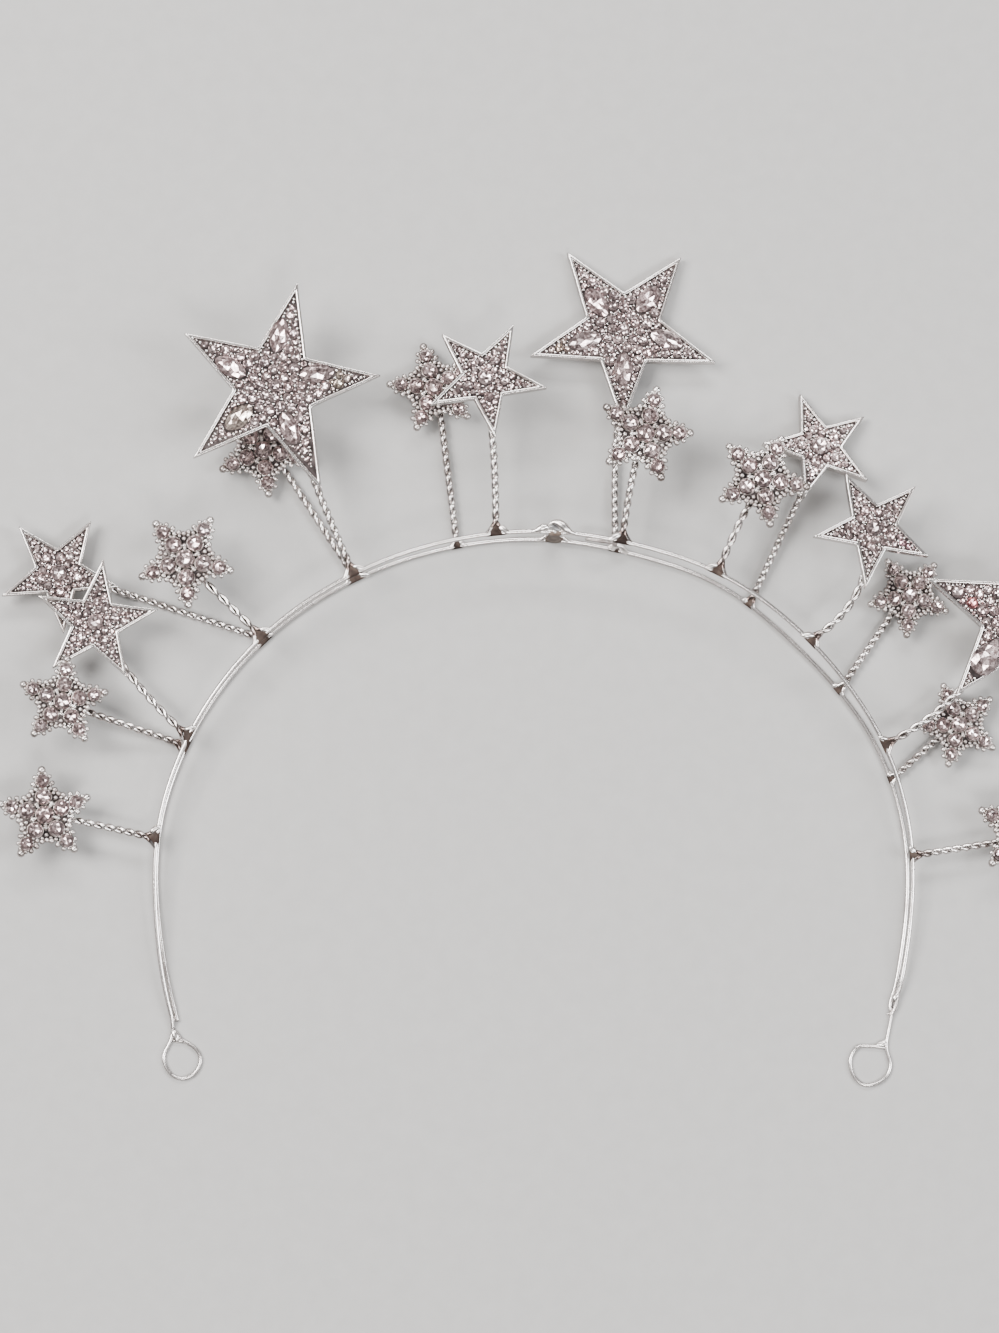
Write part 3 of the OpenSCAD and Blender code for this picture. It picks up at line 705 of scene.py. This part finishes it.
def star_line(radius, inset=0.0, number=0):
    cut = TIP_ROUND / radius
    line = []
    for k in range(RAYS):
        tip, ahead = tip_of(radius, number, k), tip_of(radius, number, k + 1)
        before, after = polar(NOTCH_SHARE, RAY_STEP * (k - 0.5)), polar(NOTCH_SHARE, RAY_STEP * (k + 0.5))
        line += [tip + (before - tip) * cut * share for share in (2.2, 1.0, 0.35)] + [tip * (1 - cut * 0.42)]
        line += [tip + (after - tip) * cut * share for share in (0.35, 1.0, 2.2)]
        line += [tip + (after - tip) * share for share in (0.35, 0.7, 0.96)] + [after * 1.008]
        line += [ahead + (after - ahead) * share for share in (0.96, 0.7, 0.35)]
    return np.array(line) * (radius - inset / EDGE_SHARE)


def stacked(lines, bottom, top):
    """A body of flat outlines at their heights, closed at both ends by fans round a middle point"""
    points = [np.column_stack([line, np.full(len(line), height)]) for line, height in lines]
    rings, sides = len(points), len(points[0])
    low, last = rings * sides, (rings - 1) * sides
    faces = between_rings(rings, sides) + [((j + 1) % sides, j, low) for j in range(sides)]
    faces += [(last + j, last + (j + 1) % sides, low + 1) for j in range(sides)]
    return np.vstack([*points, [(0, 0, bottom), (0, 0, top)]]), faces


def star_casting(o):
    radius = star_radius(o)
    rng = np.random.default_rng(500 + o.number)
    lines = [(star_line(radius, inward * RIM_W, o.number), height * STAR_T) for inward, height in RIM_PROFILE]
    lines.append((star_line(radius, RIM_W * 1.06, o.number), STAR_T - RECESS))
    points, faces = stacked(lines, 0.0, STAR_T - RECESS)
    points[:-2, :2] += 0.02 * np.sin(points[:-2, 1::-1] * rng.uniform(0.5, 0.9) + rng.uniform(0, 6))
    return set_on_stem(o, points), faces


rim_silver = silver_plate("rim_silver", shine=(0.18, 0.34), dull_share=0.30, pits=0.000015)
# the sunk face: oxide and painted shade between the stones
star_floor = soft_solder("star_floor", FLOOR_SHADES, (0.3, 0.55), 0.7)
stars = [o for o in ORNAMENTS if o.kind != "snowflake"]
for o in stars:
    piece = lay_down("star_%02d_casting" % o.number, star_casting(o), rim_silver, "silver_plate", [node_of(o)])
    piece.data.materials.append(star_floor)
    ring = len(star_line(1.0))
    for face in piece.data.polygons:  # the sunk face takes the floor's finish, and the walls have crisp edges
        row = min(face.vertices) // ring
        if row >= len(RIM_PROFILE) - 1:
            face.material_index = 1
        if max(face.vertices) >= ring * (len(RIM_PROFILE) + 1) or row in (1, 2):
            face.use_smooth = False

# The stones of the stars: clear cut glass backed with silver foil. Boat-shaped stones fill the rays of the big
# stars, and round ones those of the others. Smaller round ones are packed round them, and all are held down by
# grains of metal raised between them.
TABLE_SHARE = 0.56
CROWN_SHARE = 0.55
SMALL_SIZES = {"big": (1.0, 0.86, 0.74, 0.62, 0.50, 0.38), "medium": (0.80, 0.66, 0.54, 0.44, 0.34)}
PLAIN_UNDER = 0.9  # stones under this radius have the plain cut
LEAST_GRAIN = 0.13
MIDDLE_R = {"big": 1.3, "medium": 1.6}
WIDER_MIDDLE = {13: 1.95}
BOAT_SLIM = 0.56
# painted shine: the boats' colours are made brighter
BOAT_SHINE = 1.35
BOAT_AT = {  # boats set off the middle of their ray, by ornament and ray: distance along it, distance beside it
    (7, 0): (8.4, 1.6), (7, 1): (9.9, 1.3), (7, 2): (9.4, 1.3), (7, 3): (9.6, 0.0), (7, 4): (8.9, -0.9),
    (10, 1): (7.8, 1.2), (10, 4): (8.8, 1.1)}
DROP_AT, THREE_AT = (16, 3), (16, 2)  # rays with a drop-shaped stone and with three round ones, and no boat
THREE_ROUND = ((13.6, 0.5, 1.35), (10.2, 6.0, 1.15), (7.9, 12.0, 1.3))  # distance, angle off the ray, radius
FLASHES = {  # stones with a painted pink or peach flash, by ornament and ray: distance, angle off the ray, colour
    (10, 1): (10.0, 5.8, (0.95, 0.45, 0.50)), (16, 2): (10.2, 6.0, (1.0, 0.40, 0.40)),
    (14, 4): (7.2, 0.0, (0.95, 0.50, 0.58)),
    (10, 2): (13.5, 0.0, (1.0, 0.78, 0.62)), (7, 0): (12.5, 0.0, (1.0, 0.86, 0.66)),
    (7, 3): (11.0, 0.0, (0.98, 0.86, 0.66))}
MIDDLE_FACETS = (0.35, 0.6, 0.9, 1.2, 1.5, 1.7)  # painted flashes and dark reflections of the middle facets, picked by chance
# painted glints: small cells of dark, middle and pale colour over the stones, for the sparkle of fine facets
GLINT_SCALE = 2900
GLINTS = [(0.26, (0.30, 0.265, 0.265, 1)), (0.50, (0.72, 0.70, 0.70, 1)), (0.70, (1.0, 1.0, 1.0, 1))]
GLASS_LOOK = {"Metallic": 0.72, "Coat Weight": 1.0, "Coat Roughness": 0.02, "Coat IOR": 1.6}
CLEAR = np.array((0.93, 0.76, 0.742))
BRIGHTER = {7: 0.90, 10: 0.95, 13: 1.4, 16: 0.95}  # against the other ornaments
ROSE = np.array((0.82, 0.59, 0.58))
LILAC = np.array((0.55, 0.41, 0.42))


def brilliant(radius, height, slim=1.0, point=0.0):
    """A cut crown with a table, eight star facets, eight kites and sixteen facets round the girdle"""
    def spot(angle, share, level):
        x, y = polar(radius * share, angle)
        if point:
            y *= slim * (1 - point * x / radius)
        elif slim < 1:
            y *= slim * (0.65 + 0.35 * abs(math.sin(math.radians(angle))))
        return x, y, level * height
    points = [(0, 0, height * 0.62)]
    points += [spot(45 * k, TABLE_SHARE, 1.0) for k in range(8)]
    points += [spot(45 * k + 22.5, 0.78, 0.74) for k in range(8)]
    points += [spot(22.5 * k, 1.0, 0.34) for k in range(16)]
    points += [spot(22.5 * k, 0.94, -0.10) for k in range(16)]
    table, star, girdle, seat = 1, 9, 17, 33
    faces = []
    for k in range(8):
        n = (k + 1) % 8
        faces += [(0, table + k, table + n), (table + k, star + k, table + n),
                  (table + k, star + (k - 1) % 8, girdle + 2 * k), (table + k, girdle + 2 * k, star + k),
                  (star + k, girdle + 2 * k, girdle + 2 * k + 1),
                  (star + k, girdle + 2 * k + 1, girdle + (2 * k + 2) % 16)]
    faces += [(girdle + a, girdle + d, girdle + c, girdle + b) for a, b, c, d in between_rings(2, 16)]
    faces.append(tuple(range(seat, seat + 16))[::-1])
    return np.array(points), faces


def small_cut(radius, height):
    """The plain cut of the smallest stones: a table, eight crown facets and a girdle"""
    rings = ((TABLE_SHARE, 1.0), (1.0, 0.34), (0.92, -0.15))
    points = [(*polar(radius * share, 45 * k), height * level) for share, level in rings for k in range(8)]
    points.append((0, 0, height * 0.66))
    faces = [(24, k, k + 1, (k + 2) % 8) for k in range(0, 8, 2)] + [tuple(range(16, 24))[::-1]]
    return np.array(points), faces + [(a, d, c, b) for a, b, c, d in between_rings(len(rings), 8)]


def facet_colours_and_flashes(faces, points, colour, rng):
    """One colour a facet, with painted flashes and dark reflections: middle facets flash or go dark by chance,
    the others stay nearer to even
    """
    middle = min(range(len(points)), key=lambda i: math.hypot(*points[i][:2]))
    shares = [rng.choice(MIDDLE_FACETS) if middle in f else rng.uniform(0.35, 1.25) for f in faces]
    return np.array([(*colour * share, 1) for share in shares])


def tilted(points, rng, most):
    lean = rng.normal(0, most, 2)
    turn = Matrix.Rotation(lean[0], 3, "X") @ Matrix.Rotation(lean[1], 3, "Y")
    return points @ np.array(turn).T


def turned(points, angle):
    c, s = polar(1, angle)
    return points @ np.array(((c, s, 0), (-s, c, 0), (0, 0, 1)))


def main_stones(o):
    """x, y, turn, half length, slimness and point of each main stone"""
    r = star_radius(o)
    rows = [(0, 0, 10, WIDER_MIDDLE.get(o.number, MIDDLE_R[o.kind]), 1.0, 0)]
    for k in range(RAYS):
        a = RAY_STEP * k
        if o.kind == "big":
            if (o.number, k) == DROP_AT:
                rows.append((*polar(0.50 * r, a), a + 180, 4.5, 0.56, 0.42))
            elif (o.number, k) == THREE_AT:
                rows += [(*polar(far, a + aside), a, size, 1.0, 0) for far, aside, size in THREE_ROUND]
            else:
                far, aside = BOAT_AT.get((o.number, k), (0.42 * r, 0.0))
                rows.append((*(polar(far, a) + polar(aside, a + 90)), a, 3.4, BOAT_SLIM, 0))
                rows.append((*polar(0.70 * r, a), a, 0.9, 1.0, 0))
            rows.append((*polar(0.25 * r, a + 36), a, 1.1, 1.0, 0))
        else:
            rows.append((*polar(0.32 * r, a), a, 0.95, 1.0, 0))
            rows.append((*polar(0.54 * r, a), a, 0.7, 1.0, 0))
    return rows


def packed_round(o):
    """Fills the face between the main stones, nesting each new stone against two neighbours"""
    r = star_radius(o)
    rng = np.random.default_rng(700 + o.number)
    step = 0.16
    xs, ys = np.meshgrid(np.arange(-r, r, step), np.arange(-r, r, step))
    spots = np.column_stack([xs.ravel(), ys.ravel()]) + rng.uniform(-0.05, 0.05, (xs.size, 2))
    angle = np.degrees(np.arctan2(spots[:, 1], spots[:, 0]))
    folded = np.abs((angle + RAY_STEP / 2) % RAY_STEP - RAY_STEP / 2)
    far = np.hypot(*spots.T)
    out = polar(1, RAY_STEP / 2) * NOTCH_SHARE - (1, 0)
    normal = np.array((out[1], -out[0])) / np.hypot(*out)
    reach = np.column_stack([far * np.cos(np.radians(folded)), far * np.sin(np.radians(folded))]) @ normal
    room = EDGE_SHARE * r - reach - RIM_W
    spots, room = spots[room > 0.1], room[room > 0.1]
    second = np.full(len(room), 9.0)

    def fill(x, y, radius):
        nonlocal room, second
        clear = np.hypot(*(spots - (x, y)).T) - radius
        second = np.minimum(second, np.maximum(room, clear))
        room = np.minimum(room, clear)

    for x, y, turn, size, slim, point in main_stones(o):
        if slim == 1.0:
            fill(x, y, size)
        else:
            for share in (-0.66, -0.35, 0, 0.35, 0.66):
                wide = size * slim * math.sqrt(1 - share * share) * (1 - point * share)
                fill(*(np.array((x, y)) + polar(size * share, turn)), wide * 0.92)
    stones, grains = [], []
    for size in SMALL_SIZES[o.kind]:
        while True:
            fits = np.where(room >= size + 0.03)[0]
            if not len(fits):
                break
            best = fits[np.argmin(room[fits] + second[fits])]
            stones.append((*spots[best], size))
            fill(*spots[best], size)
    while True:
        best = np.argmax(room)
        if room[best] < LEAST_GRAIN:
            break
        size = min(room[best] * 1.25, 0.34)
        grains.append((*spots[best], size))
        fill(*spots[best], size * 1.3)
    return stones, grains


def star_stone_shapes(o):
    rng = np.random.default_rng(900 + o.number)
    bed = STAR_T - RECESS
    parts, tints = [], []
    packed, grains = packed_round(o)
    rows = main_stones(o) + [(x, y, rng.uniform(0, 45), s, 1.0, 0) for x, y, s in packed]
    for x, y, turn, size, slim, point in rows:
        boat = slim < 1
        plain = not boat and size < PLAIN_UNDER
        height = size * CROWN_SHARE * (slim * 0.85 if boat else 1)
        cut, faces = small_cut(size, height) if plain else brilliant(size, height, slim, point)
        points = turned(tilted(cut, rng, 0.09 if plain else 0.05), turn)
        parts.append((points + (x, y, bed + 0.12 + 0.20 * min(size, 1.2)), faces))
        blend = rng.uniform(0, 1)
        colour = CLEAR + (ROSE - CLEAR) * max(0, blend - 0.35) + (LILAC - CLEAR) * max(0, 0.4 - blend) * 1.5
        ray = int(((math.degrees(math.atan2(y, x)) + RAY_STEP / 2) % 360) // RAY_STEP)
        if (o.number, ray) in FLASHES:
            at, aside, flash = FLASHES[(o.number, ray)]
            # a painted flash of colour, fading with distance from its spot
            near = np.hypot(*(np.array((x, y)) - polar(at, ray * RAY_STEP + aside)))
            colour = colour + (np.array(flash) - colour) * max(0, 1 - near / 2.6)
        # painted shine: brighter colours for the boats
        shine = BRIGHTER.get(o.number, 1.0) * (BOAT_SHINE if boat else 1)
        tints.append(facet_colours_and_flashes(faces, cut, colour * shine * rng.uniform(0.84, 0.98), rng))
    points, faces = together(parts)
    return (set_on_stem(o, points), faces), np.vstack(tints), grains


def grain_shapes(grains):
    points, faces = ball(8, 6)
    return together([(points * (s, s, s * 0.9) + (x, y, z), faces) for x, y, s, z in grains])


glass, nodes, links, shader = new_finish("cut_glass")
tint = nodes.new("ShaderNodeAttribute")
tint.attribute_name = "tint"
spot = nodes.new("ShaderNodeTexCoord")
# the glass's colour: each stone's tint with painted facet flashes, broken by painted glints in small cells
cells = nodes.new("ShaderNodeTexVoronoi")
cells.inputs["Scale"].default_value = GLINT_SCALE
links.new(spot.outputs["Object"], cells.inputs["Vector"])
glints = shades_of(nodes, links, cells.outputs["Color"], GLINTS)
links.new(multiplied(nodes, links, tint.outputs["Color"], glints), shader.inputs["Base Color"])
links.new(between(nodes, links, grain_of(nodes, links, 900, 2.0), 0.02, 0.12), shader.inputs["Roughness"])
for name, amount in GLASS_LOOK.items():
    shader.inputs[name].default_value = amount
prong_silver = silver_plate("prong_silver", shine=(0.10, 0.22), dull_share=0.22, pits=0.000008)
for o in stars:
    shape, tints, grains = star_stone_shapes(o)
    lay_down("star_%02d_stones" % o.number, shape, glass, "cut_stone", ["stones_%02d" % o.number], False, tints)
    points, faces = grain_shapes([(x, y, s, STAR_T - RECESS + 0.26) for x, y, s in grains])
    lay_down("star_%02d_grains" % o.number, (set_on_stem(o, points), faces), prong_silver, "silver_plate")

# The snowflakes: small five-rayed castings. Round cups hold a middle stone and two stones along each ray, with a
# ball at each tip and grains down both sides of the rays, all on a thin plate with five notches. The plate's dark
# colour is painted shade in the gaps between them.
PLATE_TIP_R = 8.5
PLATE_NOTCH_R = 4.583
PLATE_T = 1.0
PLATE_PROFILE = ((0.97, 0.0), (1.0, 0.12), (1.0, 0.8), (0.96, 0.95))  # shares of the outline and the thickness
# the plate's dark colours are painted shade in the gaps between cups and grains
PLATE_SHADES = ((0.020, 0.015, 0.015, 1), (0.060, 0.047, 0.046, 1), (0.19, 0.16, 0.155, 1))
CUP_H = 1.6
CUP_WALL = 0.2
CUP_SIDES = 24
FLAKE_STONES = ((0, 1.7, 0), (3.55, 1.5, 0), (6.65, 1.28, -0.1))  # distance, radius, height over CUP_H
FLAKE_BEADS = (  # distance, angle off the ray, radius, height
    (8.8, 0, 0.84, 0.9), (4.95, 36, 0.56, 0.95), (3.95, 36, 0.46, 1.15), (2.55, 36, 0.62, 1.2))
FLAKE_GRAINS = (  # along the ray, to each side of it, radius, height
    (5.05, 1.42, 0.52, 1.25), (4.75, 2.3, 0.58, 1.0), (6.1, 1.88, 0.56, 1.05), (7.45, 1.46, 0.50, 1.0),
    (5.1, 0.55, 0.36, 1.45), (8.1, 0.66, 0.40, 1.05), (1.75, 1.2, 0.34, 1.5), (4.2, 1.98, 0.38, 1.1),
    (5.8, 1.5, 0.34, 1.15))


def cup(x, y, radius, top):
    rows = ((radius + CUP_WALL * 0.6, 0.12), (radius + CUP_WALL, top * 0.55), (radius + CUP_WALL, top * 0.9),
            (radius + CUP_WALL * 0.6, top), (radius, top * 0.985), (radius * 0.9, top * 0.8))
    points = [(*(polar(r, 360 / CUP_SIDES * j) + (x, y)), z) for r, z in rows for j in range(CUP_SIDES)]
    return points, closed_rings(len(rows), CUP_SIDES)


def web_plate():
    line = []
    for k in range(RAYS):
        tip, ahead = polar(PLATE_TIP_R, RAY_STEP * k), polar(PLATE_TIP_R, RAY_STEP * (k + 1))
        before, after = polar(PLATE_NOTCH_R, RAY_STEP * (k - 0.5)), polar(PLATE_NOTCH_R, RAY_STEP * (k + 0.5))
        line += [tip + (before - tip) * 0.06, tip + (after - tip) * 0.06, (tip + after) / 2, after,
                 (ahead + after) / 2]
    return stacked([(np.array(line) * share, high * PLATE_T) for share, high in PLATE_PROFILE],
                   0.0, PLATE_PROFILE[-1][1] * PLATE_T)


cup_silver = silver_plate("cup_silver", shine=(0.20, 0.36), dull_share=0.56, edge=0.15)
bead_silver = silver_plate("bead_silver", shine=(0.20, 0.36), dull_share=0.42, edge=0.15)
# painted shade: the plate is dark where the gaps between cups and grains lie
flake_floor = soft_solder("flake_floor", PLATE_SHADES, (0.35, 0.55), 0.4, 0.3)
for o in [o for o in ORNAMENTS if o.kind == "snowflake"]:
    rng = np.random.default_rng(1100 + o.number)
    cups, stones, tints, grains = [], [], [], []
    for distance, radius, lift in FLAKE_STONES:
        for k in range(RAYS if distance else 1):
            x, y = polar(distance, RAY_STEP * k)
            cups.append(cup(x, y, radius, CUP_H + lift))
            cut, faces = brilliant(radius, radius * CROWN_SHARE)
            points = turned(tilted(cut, rng, 0.06), rng.uniform(0, 45))
            stones.append((points + (x, y, CUP_H + lift + 0.02), faces))
            blend = rng.uniform(0, 1)
            colour = CLEAR + (ROSE - CLEAR) * blend * 0.8 + (LILAC - CLEAR) * max(0, 0.4 - blend) * 0.8
            tints.append(facet_colours_and_flashes(faces, cut, colour * rng.uniform(0.74, 0.98), rng))
            prongs, first, size = (4, 45, 0.24) if distance else (RAYS, RAY_STEP / 2, 0.28)
            for j in range(prongs):
                beside = polar(radius * 1.02, RAY_STEP * k + first + 360 / prongs * j)
                grains.append((x + beside[0], y + beside[1], size, CUP_H + lift + 0.05))
    for k in range(RAYS):
        for distance, aside, radius, height in FLAKE_BEADS:
            grains.append((*polar(distance, RAY_STEP * k + aside), radius, height))
        for distance, aside, radius, height in FLAKE_GRAINS:
            for hand in (1, -1):
                place = polar(distance, RAY_STEP * k) + polar(hand * aside, RAY_STEP * k + 90)
                grains.append((*place, radius * rng.uniform(0.9, 1.1), height))
    for name, (points, faces), *looks in (
            ("web", web_plate(), flake_floor, "silver_plate", [node_of(o)]),
            ("cups", together(cups), cup_silver, "silver_plate"),
            ("stones", together(stones), glass, "cut_stone", ["stones_%02d" % o.number], False, np.vstack(tints)),
            ("grains", grain_shapes(grains), bead_silver, "silver_plate")):
        placed = set_on_stem(o, points * (o.size, o.size, 1))
        lay_down("snowflake_%02d_%s" % (o.number, name), (placed, faces), *looks)
